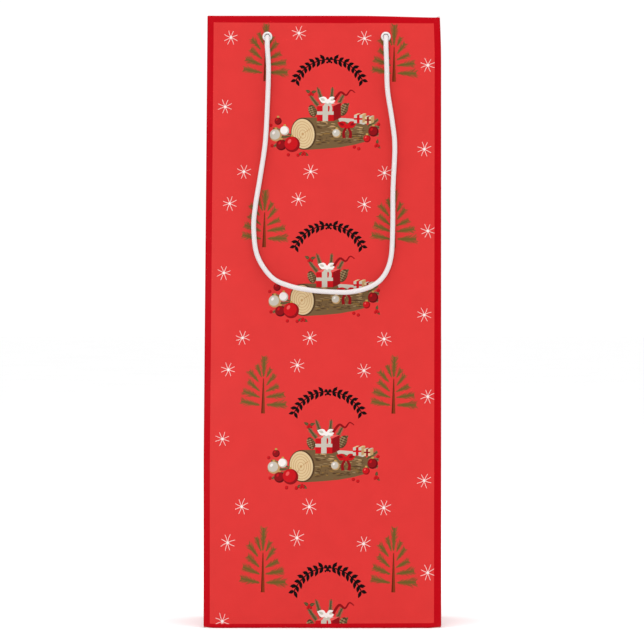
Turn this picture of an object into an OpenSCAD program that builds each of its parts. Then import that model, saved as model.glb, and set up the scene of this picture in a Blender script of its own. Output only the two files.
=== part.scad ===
// Bottle gift bag, in millimetres: a folded and glued paper sheet with its rim turned in
// over two card strips, a loose base board, four eyelets and two knotted rope handles.
// The origin is the middle of the base, +Z is up and the printed face looks to -Y.

/* [Bag] */
// Width of the printed face
bag_w = 135.5; // [110:0.5:200]
// Depth from the printed face to the back
bag_d = 83; // [68:1:130]
// Height from the base to the rim
bag_h = 349; // [290:1:450]
// Thickness of the laminated paper
paper_t = 0.4; // [0.3:0.01:0.8]
// Width of the glued flap along the side seam
seam_w = 15; // [8:1:25]

/* [Rim] */
// How far the rim is turned in
hem_h = 38; // [36:1:60]
// Height of the card strips inside the rim
card_h = 30; // [24:1:34]
// Thickness of the card strips
card_t = 1; // [0.5:0.1:2]
// Gap from a card strip's ends to the side walls
card_inset = 3; // [1:0.5:10]

/* [Base] */
// How far the front and back flaps overlap
flap_lap = 20; // [10:1:40]
// How far the side flaps reach in
side_flap_l = 34; // [20:1:50]
// How far a flap narrows on each side towards its free edge
flap_taper = 8; // [1:1:15]
// Thickness of the loose base board
board_t = 1.5; // [1:0.1:3]
// Gap round the base board
board_gap = 2; // [0.5:0.1:3]

/* [Handles] */
// Diameter of the rope
cord_d = 2.8; // [2:0.1:4]
// Distance between the two eyelets of one handle
eyelet_pitch = 67.5; // [54:0.5:84]
// How far both pairs of eyelets sit to the right of the middle
eyelet_shift = 2.4; // [-4:0.1:4]
// Distance from the rim down to the eyelets
eyelet_drop = 12; // [8:0.5:14]
// Width of the flange round an eyelet's barrel
flange_w = 0.8; // [0.6:0.1:2]
// Thickness of an eyelet's outer flange
flange_t = 0.6; // [0.4:0.1:1]
// Thickness of the lip rolled over inside
lip_t = 0.4; // [0.3:0.1:0.8]
// Wall of an eyelet's barrel
barrel_wall = 0.4; // [0.3:0.1:0.8]
// Gap round the rope in an eyelet
cord_gap = 0.3; // [0.2:0.1:0.6]
// Gap round an eyelet's barrel in the paper
punch_gap = 0.05; // [0.02:0.01:0.2]
// Distance from the face out to the line a handle swings about
swing_out = 4; // [3.5:0.1:6]
// Gap between a rope's fixed end and its swinging loop
swing_gap = 0.3; // [0.2:0.1:0.6]
// Diameter of a stopper knot
knot_d = 8; // [6:0.5:10]
// Length of the rope's tail below its knot
tail_l = 12; // [6:1:20]

/* [Hidden] */
$fn = 48;

LEFT = -1;
RIGHT = 1;
EPS = 0.01;

paper_red = [0.66, 0.05, 0.08];
print_red = [0.86, 0.24, 0.23];
kraft = [0.72, 0.62, 0.48];
rope_white = [0.93, 0.91, 0.90];

// Walls: where the paper, the card and the turned-in rim lie, counted from the middle
half_w = bag_w / 2;
half_d = bag_d / 2;
wall_x = half_w - paper_t;
wall_y = half_d - paper_t;
card_y = wall_y - card_t;
rim_y = card_y - paper_t;
card_top = bag_h - 2 * paper_t;

// Base: the front flap is outermost, then the back flap, then both side flaps
back_flap_z = paper_t;
side_flap_z = 2 * paper_t;
board_z = 3 * paper_t;
board_x = wall_x - board_gap;
board_y = wall_y - paper_t - board_gap;

// Eyelets: the rope sets the bore, and the bore sets the barrel and the punched hole
eyelet_z = bag_h - eyelet_drop;
cord_r = cord_d / 2;
bore_r = cord_r + cord_gap;
barrel_r = bore_r + barrel_wall;
punch_r = barrel_r + punch_gap;
flange_r = barrel_r + flange_w;
lip_y = rim_y - lip_t;

// Handles: each loop swings about a line through the outer ends of its two fixed ends
swing_y = half_d + swing_out;
loop_top = cord_r + swing_gap;
knot_r = knot_d / 2;
knot_y = lip_y - sqrt(knot_r * knot_r - bore_r * bore_r);

// Route of a hanging loop, in order: which eyelet a point is counted from, how far to the
// right of it, and how far below it. The first and last points are the loop's two ends.
LOOP = [
    [LEFT, 0, loop_top], [LEFT, 0.7, 19], [LEFT, 0.1, 39], [LEFT, -1.2, 61], [LEFT, -4, 80],
    [LEFT, -6.8, 97], [LEFT, -7.7, 110], [LEFT, -5.6, 125], [LEFT, 2.3, 137], [LEFT, 12.3, 142],
    [LEFT, 24.3, 144.5], [LEFT, 36.3, 145.5],
    [RIGHT, -19.7, 145.5], [RIGHT, -8.7, 142.5], [RIGHT, -1.3, 136.5], [RIGHT, 2.8, 126],
    [RIGHT, 3.8, 109], [RIGHT, 4, 87], [RIGHT, 5, 63], [RIGHT, 3.5, 48], [RIGHT, 0.9, 31],
    [RIGHT, 0.4, 17], [RIGHT, 0, loop_top]
];
RINGS_PER_STEP = 2;
TUBE_SIDES = 8;

function eyelet_x(side) = eyelet_shift + side * eyelet_pitch / 2;

// A point of the route in the frame of the bag, on the front
function loop_point(p) = [eyelet_x(p[0]) + p[1], -swing_y, eyelet_z - p[2]];

// A smooth curve through four points, from the second at t = 0 to the third at t = 1
function curve(a, b, c, d, t) =
    b + t / 2 * (c - a + t * (2 * a - 5 * b + 4 * c - d + t * (3 * (b - c) + d - a)));

function clamped(list, i) = list[max(0, min(len(list) - 1, i))];

// The route with rings added between its points
function smooth_path(points) = [
    for (i = [0 : len(points) - 2], j = [0 : RINGS_PER_STEP - 1])
        curve(clamped(points, i - 1), points[i], points[i + 1], clamped(points, i + 2),
              j / RINGS_PER_STEP),
    points[len(points) - 1]
];

// The direction of a path in the XZ plane at one of its points; both ends leave straight
function heading(path, i) =
    let (last = len(path) - 1,
         along = i == 0 ? [0, 0, -1] : i == last ? [0, 0, 1] : path[i + 1] - path[i - 1])
    along / norm(along);

// A round tube of radius r along a path that lies in an XZ plane
module tube(path, r) {
    rings = len(path);
    points = [
        for (i = [0 : rings - 1], k = [0 : TUBE_SIDES - 1])
            let (angle = 360 * k / TUBE_SIDES, out = cross(heading(path, i), [0, 1, 0]))
            path[i] + r * (cos(angle) * out + sin(angle) * [0, 1, 0])
    ];
    sides = [
        for (i = [0 : rings - 2], k = [0 : TUBE_SIDES - 1])
            let (next = (k + 1) % TUBE_SIDES, low = i * TUBE_SIDES, high = low + TUBE_SIDES)
            [low + k, low + next, high + next, high + k]
    ];
    first_cap = [for (k = [TUBE_SIDES - 1 : -1 : 0]) k];
    last_cap = [for (k = [0 : TUBE_SIDES - 1]) (rings - 1) * TUBE_SIDES + k];
    polyhedron(points, concat(sides, [first_cap, last_cap]));
}

// Draws children as they are for the front, or mirrored for the back
module on(face) {
    if (face == "back") mirror([0, 1, 0]) children();
    else children();
}

// A box given by its lowest and highest corners
module box(low, high) {
    translate(low) cube(high - low);
}

// The two holes punched through the front for its eyelets
module punched() {
    difference() {
        children();
        for (side = [LEFT, RIGHT])
            translate([eyelet_x(side), -half_d - EPS, eyelet_z])
                rotate([-90, 0, 0]) cylinder(r = punch_r, h = half_d);
    }
}

// Front or back wall, from corner to corner
module panel(face) {
    color(face == "front" ? print_red : paper_red)
        on(face) punched() box([-half_w, -half_d, 0], [half_w, -wall_y, bag_h]);
}

// Half of a side wall, from its corner to the crease in its middle
module gusset_half(side, face) {
    color(paper_red) on(face)
        box([side == LEFT ? -half_w : wall_x, -wall_y, 0],
            [side == LEFT ? -wall_x : half_w, 0, bag_h]);
}

// Glued flap inside the back wall, at its left corner
module side_seam_flap() {
    color(rope_white)
        box([-wall_x, wall_y - paper_t, board_z], [-wall_x + seam_w, wall_y, bag_h - hem_h]);
}

// Front or back rim, folded over the card strip and down inside it
module face_hem(face) {
    color(paper_red) on(face) punched()
        translate([-wall_x, 0, 0]) rotate([90, 0, 90]) linear_extrude(2 * wall_x)
            polygon([
                [-wall_y, bag_h], [-rim_y, bag_h], [-rim_y, bag_h - hem_h],
                [-card_y, bag_h - hem_h], [-card_y, bag_h - paper_t],
                [-wall_y, bag_h - paper_t]
            ]);
}

// Side rim, turned in flat against the side wall
module side_hem(side) {
    color(paper_red)
        box([side == LEFT ? -wall_x : wall_x - paper_t, -rim_y, bag_h - hem_h],
            [side == LEFT ? -wall_x + paper_t : wall_x, rim_y, bag_h]);
}

// Card strip between a wall and its turned-in rim
module card(face) {
    color(kraft) on(face) punched()
        box([-wall_x + card_inset, -wall_y, card_top - card_h],
            [wall_x - card_inset, -card_y, card_top]);
}

// Front or back base flap, reaching past the middle to be glued to the other
module face_base_flap(face, z) {
    color(paper_red) on(face) translate([0, 0, z]) linear_extrude(paper_t)
        polygon([
            [-wall_x, -wall_y], [wall_x, -wall_y],
            [wall_x - flap_taper, flap_lap / 2], [-wall_x + flap_taper, flap_lap / 2]
        ]);
}

// Side base flap, folded in first
module side_base_flap(side) {
    color(rope_white) translate([0, 0, side_flap_z]) linear_extrude(paper_t)
        polygon([
            [side * wall_x, -wall_y], [side * wall_x, wall_y],
            [side * (wall_x - side_flap_l), wall_y - flap_taper],
            [side * (wall_x - side_flap_l), -wall_y + flap_taper]
        ]);
}

// Loose stiff board that lies on the base flaps
module base_board() {
    color(kraft)
        box([-board_x, -board_y, board_z], [board_x, board_y, board_z + board_t]);
}

// Eyelet through wall, card and rim: a bevelled outer flange, a barrel and a rolled lip
module eyelet(side, face) {
    bevel = flange_t / 2;
    grip = half_d - rim_y;
    color(rope_white) on(face)
        translate([eyelet_x(side), -half_d, eyelet_z]) rotate([-90, 0, 0])
            rotate_extrude()
                polygon([
                    [bore_r, -flange_t], [flange_r - bevel, -flange_t],
                    [flange_r, -flange_t + bevel], [flange_r, 0], [barrel_r, 0],
                    [barrel_r, grip], [barrel_r + flange_w / 2, grip],
                    [barrel_r + flange_w / 2, grip + lip_t], [bore_r, grip + lip_t]
                ]);
}

// Fixed end of a rope: its knot and tail inside, and its way out through the eyelet
module cord_end(side, face) {
    color(rope_white) on(face)
        translate([eyelet_x(side), -knot_y, eyelet_z]) {
            sphere(r = knot_r);
            rotate([90, 0, 0]) cylinder(r = cord_r, h = swing_y - knot_y);
            translate([0, 0, -knot_r - tail_l]) cylinder(r = cord_r, h = knot_r + tail_l);
        }
}

// Hanging loop of a rope handle; the back one is the front one turned half round
module handle_cord(face) {
    path = smooth_path([for (p = LOOP) loop_point(p)]);
    color(rope_white)
        if (face == "back") translate([2 * eyelet_shift, 0, 0]) rotate([0, 0, 180])
            tube(path, cord_r);
        else tube(path, cord_r);
}

panel("front");  // front_panel
panel("back");  // back_panel
gusset_half(LEFT, "front");  // left_gusset_front
gusset_half(LEFT, "back");  // left_gusset_rear
gusset_half(RIGHT, "front");  // right_gusset_front
gusset_half(RIGHT, "back");  // right_gusset_rear
side_seam_flap();
face_hem("front");  // front_hem
face_hem("back");  // back_hem
side_hem(LEFT);  // left_hem
side_hem(RIGHT);  // right_hem
card("front");  // front_card
card("back");  // back_card
face_base_flap("front", 0);  // front_base_flap
face_base_flap("back", back_flap_z);  // back_base_flap
side_base_flap(LEFT);  // left_base_flap
side_base_flap(RIGHT);  // right_base_flap
base_board();
eyelet(LEFT, "front");  // front_left_eyelet
eyelet(RIGHT, "front");  // front_right_eyelet
eyelet(LEFT, "back");  // back_left_eyelet
eyelet(RIGHT, "back");  // back_right_eyelet
cord_end(LEFT, "front");  // front_left_cord_end
cord_end(RIGHT, "front");  // front_right_cord_end
cord_end(LEFT, "back");  // back_left_cord_end
cord_end(RIGHT, "back");  // back_right_cord_end
handle_cord("front");  // front_handle_cord
handle_cord("back");  // back_handle_cord
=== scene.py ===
"""A tall paper gift bag for one bottle: one folded, printed sheet, with eyelets, two rope
handles, card strips in its rim and a loose base board."""
import math
import random
from functools import partial
from types import SimpleNamespace
import bpy
import numpy as np
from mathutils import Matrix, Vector, geometry


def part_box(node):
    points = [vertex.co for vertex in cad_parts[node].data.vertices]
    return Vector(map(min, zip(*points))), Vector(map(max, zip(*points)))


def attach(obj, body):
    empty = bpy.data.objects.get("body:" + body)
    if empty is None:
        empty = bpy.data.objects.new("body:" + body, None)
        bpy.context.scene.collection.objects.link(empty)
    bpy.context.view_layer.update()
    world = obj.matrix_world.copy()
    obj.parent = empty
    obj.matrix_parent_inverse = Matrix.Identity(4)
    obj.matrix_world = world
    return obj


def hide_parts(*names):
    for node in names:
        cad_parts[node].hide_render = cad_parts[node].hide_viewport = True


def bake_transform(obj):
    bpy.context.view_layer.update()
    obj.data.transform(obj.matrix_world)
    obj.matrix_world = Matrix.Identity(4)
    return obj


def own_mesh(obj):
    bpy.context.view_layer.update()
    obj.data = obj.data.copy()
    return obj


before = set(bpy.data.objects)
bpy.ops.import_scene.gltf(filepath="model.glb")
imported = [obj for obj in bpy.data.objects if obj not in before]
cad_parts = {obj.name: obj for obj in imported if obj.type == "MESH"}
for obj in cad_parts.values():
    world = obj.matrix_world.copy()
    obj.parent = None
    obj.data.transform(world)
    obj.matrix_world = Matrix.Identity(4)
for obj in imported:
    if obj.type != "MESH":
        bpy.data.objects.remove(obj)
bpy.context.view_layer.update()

MM = 0.001
LEFT, RIGHT = -1, 1
SIDE = {LEFT: "left", RIGHT: "right"}
# Which way along Y each printed face looks
OUTWARD = {"front": -1, "back": 1}


def cad(node):
    """A CAD node's box in millimetres: its corners, its middle and its size."""
    low, high = np.array(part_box(node)) / MM
    return SimpleNamespace(low=low, high=high, middle=(low + high) / 2, size=high - low)


FRONT_BOX = cad("front_panel")
HEM_BOX = cad("front_hem")
CARD_BOX = cad("front_card")
SEAM_BOX = cad("side_seam_flap")
FLAP_BOX = cad("front_base_flap")
SIDE_FLAP_BOX = cad("left_base_flap")
BOARD_BOX = cad("base_board")
CORD_BOX = cad("front_handle_cord")
EYELET_BOX = {side: cad(f"front_{SIDE[side]}_eyelet") for side in SIDE}

# The sheet, the card in its rim, and how much of both an eyelet holds together
WIDTH, PAPER = FRONT_BOX.size[:2]
HEIGHT = FRONT_BOX.high[2]
DEPTH = -2 * FRONT_BOX.low[1]
HEM = HEIGHT - HEM_BOX.low[2]
CARD = CARD_BOX.size[1]
GRIP = HEM_BOX.high[1] - FRONT_BOX.low[1]
# The ropes, how far out they hang, and the eyelets
CORD_R = CORD_BOX.size[1] / 2
SWING_OUT = -CORD_BOX.middle[1] - DEPTH / 2
EYELET_X = {side: EYELET_BOX[side].middle[0] for side in SIDE}
EYELET_Z = EYELET_BOX[LEFT].middle[2]
EYELET_R = EYELET_BOX[LEFT].size[0] / 2


def srgb(red, green, blue):
    """An sRGB colour, 0 to 255, as linear values."""
    return tuple(
        c / 12.92 if c <= 0.04045 else ((c + 0.055) / 1.055) ** 2.4
        for c in (red / 255, green / 255, blue / 255)
    )


# How bright a white surface that faces the camera comes out under the lights below
LIT = 1.61


def ink(red, green, blue):
    """The albedo that the lights below show as this sRGB colour."""
    return tuple(c / LIT for c in srgb(red, green, blue))


# ---------------------------------------------------------------- camera, light, floor

CAMERA_AWAY = 2000.0
FRAME_WIDTH = 366.9
FRAME_SHIFT = (-0.23, -0.14)
SENSOR = 36.0


def add_camera():
    """Square on to the printed face, level with the middle of the bag."""
    camera = bpy.data.objects.new("camera", bpy.data.cameras.new("camera"))
    right, up = FRAME_SHIFT
    camera.location = Vector((right, -DEPTH / 2 - CAMERA_AWAY, HEIGHT / 2 + up)) * MM
    camera.rotation_euler = (math.radians(90), 0, 0)
    camera.data.sensor_width = SENSOR
    camera.data.lens = SENSOR * CAMERA_AWAY / FRAME_WIDTH
    camera.data.clip_end = 50
    bpy.context.collection.objects.link(camera)
    bpy.context.scene.camera = camera


def add_area_light(name, location, size, watts):
    """A square light that points at the middle of the bag."""
    light = bpy.data.lights.new(name, "AREA")
    light.shape = "SQUARE"
    light.size = size
    light.energy = watts
    lamp = bpy.data.objects.new(name, light)
    lamp.location = location
    aim = Vector((0, 0, HEIGHT / 2 * MM)) - lamp.location
    lamp.rotation_euler = aim.to_track_quat("-Z", "Y").to_euler()
    bpy.context.collection.objects.link(lamp)


def add_lights():
    world = bpy.data.worlds.new("studio")
    world.use_nodes = True
    sky = world.node_tree.nodes["Background"]
    sky.inputs["Color"].default_value = (1, 1, 1, 1)
    sky.inputs["Strength"].default_value = 1.06
    bpy.context.scene.world = world
    add_area_light("key", (-0.6, -2.8, 0.16), 0.4, 18.0)
    add_area_light("top", (0, -0.7, 2.4), 1.6, 34.0)
    bpy.context.scene.view_settings.view_transform = "Standard"


def add_floor():
    bpy.ops.mesh.primitive_grid_add(x_subdivisions=2, y_subdivisions=2, size=80)
    floor = bpy.context.object
    floor.name = "floor"
    floor.location = (0, 0, -0.0001)
    floor.data.materials.append(floor_material())


# ---------------------------------------------------------------- materials


class Nodes:
    """A material's node tree, with short ways to add and join nodes."""

    def __init__(self, name):
        self.material = bpy.data.materials.new(name)
        self.material.use_nodes = True
        self.tree = self.material.node_tree
        self.shader = self.tree.nodes["Principled BSDF"]

    def add(self, kind, **inputs):
        node = self.tree.nodes.new(kind)
        for key, value in inputs.items():
            node.inputs[key.replace("_", " ")].default_value = value
        return node

    def join(self, output, target):
        self.tree.links.new(output, target)

    def surface(self, **inputs):
        """The shader's inputs: each is a number, the same all over, or a node's output."""
        for key, value in inputs.items():
            socket = self.shader.inputs[key.replace("_", " ")]
            if hasattr(value, "is_linked"):
                self.join(value, socket)
            else:
                socket.default_value = value

    def noise(self, scale, detail=3.0, stretch=(1, 1, 1)):
        """Noise in the frame's own metres, so that its grain is the same on every piece."""
        place = self.add("ShaderNodeTexCoord")
        squeeze = self.add("ShaderNodeMapping")
        squeeze.inputs["Scale"].default_value = stretch
        self.join(place.outputs["Object"], squeeze.inputs["Vector"])
        node = self.add("ShaderNodeTexNoise", Scale=scale, Detail=detail)
        self.join(squeeze.outputs["Vector"], node.inputs["Vector"])
        return node.outputs["Fac"]

    def spread(self, value, low, high, start=0.3, end=0.7):
        """A value of about 0.3 to 0.7 spread from low to high."""
        node = self.add("ShaderNodeMapRange")
        node.inputs["From Min"].default_value = start
        node.inputs["From Max"].default_value = end
        node.inputs["To Min"].default_value = low
        node.inputs["To Max"].default_value = high
        self.join(value, node.inputs["Value"])
        return node.outputs["Result"]

    def tones(self, factor, first, second):
        """A colour between two, each three linear values or a node's output."""
        ends = [v if hasattr(v, "is_linked") else (*v, 1) for v in (first, second)]
        return self.mix("MIX", factor, *ends)

    def mix(self, kind, factor, first, second):
        """Two colours mixed; each is an output or a colour."""
        node = self.add("ShaderNodeMix")
        node.data_type = "RGBA"
        node.blend_type = kind
        for value, socket in ((factor, 0), (first, 6), (second, 7)):
            if hasattr(value, "is_linked"):
                self.join(value, node.inputs[socket])
            else:
                node.inputs[socket].default_value = value
        return node.outputs[2]

    def bump(self, height, strength, distance):
        node = self.add("ShaderNodeBump", Strength=strength, Distance=distance)
        self.join(height, node.inputs["Height"])
        self.join(node.outputs["Normal"], self.shader.inputs["Normal"])

    def attribute(self, name, output):
        node = self.add("ShaderNodeAttribute")
        node.attribute_name = name
        return node.outputs[output]


def printed_paper():
    """Ink under a thin gloss film: the face attribute ink holds each colour, and the vertex
    attribute wear says where the white of the paper shows through."""
    n = Nodes("printed_paper")
    mottle = n.spread(n.noise(90, 5), 0.975, 1.025)
    shade = n.mix("MULTIPLY", 1.0, n.attribute("ink", "Vector"), mottle)
    worn = n.add("ShaderNodeMath")
    worn.operation = "MULTIPLY"
    n.join(n.attribute("wear", "Fac"), worn.inputs[0])
    n.join(n.spread(n.noise(900, 5), 0.0, 1.0, 0.5, 0.62), worn.inputs[1])
    n.surface(
        Base_Color=n.tones(worn.outputs[0], shade, ink(226, 196, 190)),
        Roughness=n.spread(n.noise(35, 2), 0.36, 0.46),
        Specular_IOR_Level=0.03,
    )
    n.bump(n.noise(700, 3), 0.2, 0.00003)
    return n.material


def raw_paper():
    """The unprinted back of the paper and its cut edges."""
    n = Nodes("raw_paper")
    fibres = n.noise(500, 6, (1, 1, 0.35))
    colour = n.tones(n.spread(fibres, 0, 1), srgb(226, 222, 214), srgb(240, 237, 231))
    n.surface(Base_Color=colour, Roughness=0.85, Specular_IOR_Level=0.2)
    n.bump(fibres, 0.5, 0.00005)
    return n.material


def grey_board():
    """Stiff recycled board, with flecks and fibres."""
    n = Nodes("grey_board")
    fibres = n.noise(380, 8, (1, 0.3, 1))
    flecks = n.spread(n.noise(1400, 2), 0, 0.55, 0.6, 0.72)
    ground = n.tones(n.spread(fibres, 0, 1), srgb(164, 148, 124), srgb(190, 175, 150))
    colour = n.tones(flecks, ground, srgb(112, 97, 79))
    n.surface(Base_Color=colour, Roughness=0.9, Specular_IOR_Level=0.15)
    n.bump(fibres, 0.6, 0.0001)
    return n.material


def rope_fibre():
    """White yarn: the vertex attribute groove paints shade, a greyish pink, into what lies between
    the strands.
    """
    n = Nodes("rope_fibre")
    fuzz = n.noise(2600, 4, (1, 1, 0.4))
    yarn = n.tones(n.spread(fuzz, 0, 1), ink(243, 239, 239), ink(255, 253, 252))
    # Painted shade: the yarn is darkened towards a greyish pink where the strands dip
    colour = n.tones(n.attribute("groove", "Fac"), yarn, ink(222, 210, 210))
    n.surface(Base_Color=colour, Roughness=0.62, Sheen_Weight=0.25, Specular_IOR_Level=0.3)
    n.bump(fuzz, 0.45, 0.00006)
    return n.material


def eyelet_white():
    """Glossy white enamel on a pressed eyelet, with faint scuffs."""
    n = Nodes("eyelet_white")
    scuffs = n.noise(1500, 5)
    colour = n.tones(n.spread(scuffs, 0, 1), ink(238, 235, 233), ink(248, 247, 246))
    n.surface(Base_Color=colour, Roughness=n.spread(scuffs, 0.22, 0.36))
    n.bump(scuffs, 0.15, 0.00002)
    return n.material


def floor_material():
    """Matt white, almost even."""
    n = Nodes("floor")
    shade = n.spread(n.noise(3, 2), 0.93, 0.95)
    n.surface(Base_Color=shade, Roughness=0.95, Specular_IOR_Level=0.1)
    return n.material


# ---------------------------------------------------------------- ropes

# Radius of the quarter turn that a rope makes as it leaves its eyelet
BEND_R = 6.0
# The front loop: beside which eyelet, how far right of it, and how far below it
ROUTE = [
    (LEFT, 0, BEND_R), (LEFT, 0.7, 19), (LEFT, 0.1, 39), (LEFT, -1.2, 61), (LEFT, -4, 80),
    (LEFT, -6.8, 97), (LEFT, -7.7, 110), (LEFT, -5.6, 125), (LEFT, 2.3, 137),
    (LEFT, 12.3, 142), (LEFT, 24.3, 144.5), (LEFT, 36.3, 145.5),
    (RIGHT, -19.7, 145.5), (RIGHT, -8.7, 142.5), (RIGHT, -1.3, 136.5), (RIGHT, 2.8, 126),
    (RIGHT, 3.8, 109), (RIGHT, 4, 87), (RIGHT, 5, 63), (RIGHT, 3.5, 48), (RIGHT, 0.9, 31),
    (RIGHT, 0.4, 17), (RIGHT, 0, BEND_R),
]
# How far back the turn starts, and how far apart the rope's rings are
BEND_START = -DEPTH / 2 - SWING_OUT + BEND_R
ROPE_STEP = 0.36


def smooth(value, low, high):
    """0 below low, 1 above high, and an even curve between them."""
    t = np.clip((value - low) / (high - low), 0, 1)
    return t * t * (3 - 2 * t)


def spline(points, steps):
    """A smooth line through points, with so many steps from each point to the next."""
    points = np.array(points, float)
    out = []
    for i in range(len(points) - 1):
        a, b = points[max(i - 1, 0)], points[i]
        c, d = points[i + 1], points[min(i + 2, len(points) - 1)]
        for t in np.arange(steps) / steps:
            out.append(
                b + t / 2 * (c - a + t * (2 * a - 5 * b + 4 * c - d + t * (3 * (b - c) + d - a)))
            )
    return np.array(out + [points[-1]])


def distances(line):
    """How far along the line each of its points is."""
    return np.r_[0, np.cumsum(np.linalg.norm(np.diff(line, axis=0), axis=1))]


def even(line, step):
    """The same line with its points a step apart."""
    away = distances(line)
    at = np.linspace(0, away[-1], max(2, round(away[-1] / step) + 1))
    return np.stack([np.interp(at, away, line[:, k]) for k in range(3)], 1)


def bend_down(x):
    """From inside the eyelet out to where the rope hangs: a quarter turn."""
    turn = np.radians(np.linspace(0, 90, 25))
    y = BEND_START - BEND_R * np.sin(turn)
    z = EYELET_Z - BEND_R * (1 - np.cos(turn))
    return np.stack([np.full_like(turn, x), y, z], 1)


def hanging_line():
    """The front rope from its left eyelet to its right one."""
    hang = [
        (EYELET_X[side] + right, -DEPTH / 2 - SWING_OUT, EYELET_Z - down)
        for side, right, down in ROUTE
    ]
    whole = [bend_down(EYELET_X[LEFT]), spline(hang, 12)[1:-1], bend_down(EYELET_X[RIGHT])[::-1]]
    return even(np.concatenate(whole), ROPE_STEP)


def half_turned(line):
    """A line of the front, turned half round to the back of the bag."""
    return line * (-1, -1, 1) + (EYELET_X[LEFT] + EYELET_X[RIGHT], 0, 0)


def carried_frames(line):
    """Two directions across a line at each point, which never twist about it."""
    along = np.gradient(line, axis=0)
    along /= np.linalg.norm(along, axis=1)[:, None]
    first = np.cross(along[0], (1.0, 0.1, 0.2))
    out = []
    for direction in along:
        first = first - direction * (first @ direction)
        first = first / np.linalg.norm(first)
        out.append((first, np.cross(direction, first)))
    return np.array([f for f, _ in out]), np.array([s for _, s in out])


# Strands each way round, how far along one crosses the next, how deep they stand, the
# height that lies at the rope's radius, and how much painted shade darkens the grooves
STRANDS = 4
BRAID_STEP = 1.5
BRAID_DEPTH = 0.11
BRAID_MEAN = 0.8
PAINTED_GROOVE_SHADE = 0.8


def braid(around, along):
    """Height, 0 to 1, of crossing strands on a rope's surface."""
    u = STRANDS * around + along * math.pi / BRAID_STEP
    w = STRANDS * around - along * math.pi / BRAID_STEP
    over = (np.floor(u / math.pi) + np.floor(w / math.pi)) % 2 == 0
    a, b = np.abs(np.sin(u)), np.abs(np.sin(w))
    return np.where(over, a * b**0.35, b * a**0.35)


def settle(obj, body, slot, *nodes):
    """The piece rides on a body and stands for these CAD nodes; slot is not used."""
    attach(obj, body)
    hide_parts(*nodes)


# How far a cut end frays, how much it spreads, and how many tufts it has
FRAY_LENGTH = 2.5
FRAY_SPREAD = 0.22
FRAY_TUFTS = 9


def fray(around, left):
    """How much wider the rope is at so much left before its cut end."""
    near = np.clip(1 - left / FRAY_LENGTH, 0, 1)
    return 1 + FRAY_SPREAD * near * (1 + 0.5 * np.sin(FRAY_TUFTS * around))


def tube_faces(rings, sides):
    """Quads round a tube, and at each end a fan about one more point."""
    k = np.arange(sides)
    ahead = (k + 1) % sides
    quad = np.stack([k, ahead, sides + ahead, sides + k], 1)
    faces = (quad + sides * np.arange(rings - 1)[:, None, None]).reshape(-1, 4).tolist()
    top, foot = (rings - 1) * sides, rings * sides
    faces += [(foot, (i + 1) % sides, i) for i in range(sides)]
    faces += [(foot + 1, top + i, top + (i + 1) % sides) for i in range(sides)]
    return faces


def rope(name, line, sides, frayed=False):
    """A braided rope along a line, closed at both ends."""
    first, second = carried_frames(line)
    away = distances(line)
    around, along = np.meshgrid(np.arange(sides) * 2 * math.pi / sides, away)
    height = braid(around, along)
    reach = CORD_R * (1 + BRAID_DEPTH * (height - BRAID_MEAN))
    if frayed:
        reach *= fray(around, away[-1] - along)
    points = (
        line[:, None]
        + (reach * np.cos(around))[:, :, None] * first[:, None]
        + (reach * np.sin(around))[:, :, None] * second[:, None]
    ).reshape(-1, 3)
    points = np.concatenate([points, line[[0, -1]]])
    obj = new_object(name, points, tube_faces(len(line), sides), [ROPE])
    # Painted shade: more where the braid lies low between the strands
    groove = PAINTED_GROOVE_SHADE * np.r_[1 - height.ravel(), 0.5, 0.5]
    obj.data.attributes.new("groove", "FLOAT", "POINT").data.foreach_set("value", groove)
    obj.data.shade_smooth()
    return obj


def new_object(name, points, faces, materials):
    """A mesh object from points in millimetres."""
    mesh = bpy.data.meshes.new(name)
    mesh.from_pydata((np.asarray(points) * MM).tolist(), [], faces)
    for material in materials:
        mesh.materials.append(material)
    obj = bpy.data.objects.new(name, mesh)
    bpy.context.collection.objects.link(obj)
    return obj


# A knot: its turns, how far apart they lie, how far out they run, how far inside the card
# they start, how far down the tail ends, and how far apart the rope's rings are
KNOT_TURNS = 2
KNOT_PITCH = 2.9
WRAP_R = 2.75
KNOT_GAP = 2.2
TAIL = 13.0
KNOT_STEP = 0.4


def knot_wrap(side, far):
    """The turns that a rope's end takes round itself, from its far end back to the wall."""
    turns = np.linspace(0, KNOT_TURNS, 60)
    angle = np.radians(90) + side * turns * 2 * math.pi
    reach = WRAP_R * smooth(turns, 0, 0.45)
    return np.stack([reach * np.cos(angle), far - KNOT_PITCH * turns, reach * np.sin(angle)], 1)


def knot_line(side):
    """A rope's fixed end: in through the eyelet, twice round itself, and down as a tail."""
    far = -DEPTH / 2 + GRIP + KNOT_GAP + KNOT_PITCH * (KNOT_TURNS + 0.15)
    wrap = knot_wrap(side, far)
    near = wrap[-1][1]
    tail = np.array([
        (side * -2.6, near + 0.2, 0.5),
        (side * -3.1, near + 0.9, -2.0),
        (side * -2.6, near + 1.5, -6.0),
        (side * -2.2, near + 1.2, -TAIL),
    ])
    hold = np.array([(0, BEND_START - 0.3, 0), (0, (BEND_START + far) / 2, 0), (0, far - 0.4, 0)])
    line = spline(np.concatenate([hold, wrap[3::5], tail]), 10)
    return even(line + (EYELET_X[side], 0, EYELET_Z), KNOT_STEP)


def add_knot(face, side):
    """A rope's knotted end inside the bag. The back's are the front's, turned half round."""
    line = knot_line(side) if face == "front" else half_turned(knot_line(-side))
    knot = rope(f"{face}_{SIDE[side]}_knot", line, KNOT_SIDES, frayed=True)
    settle(knot, "bag", "rope", f"{face}_{SIDE[side]}_cord_end")
    return knot


# Points round a rope's section
ROPE_SIDES = 28
KNOT_SIDES = 22
# Two shares of a quarter turn's diagonal, from which add_handle works out two points by the loop's
# start
BEND_SPAN = (0.45, 0.97)


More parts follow.
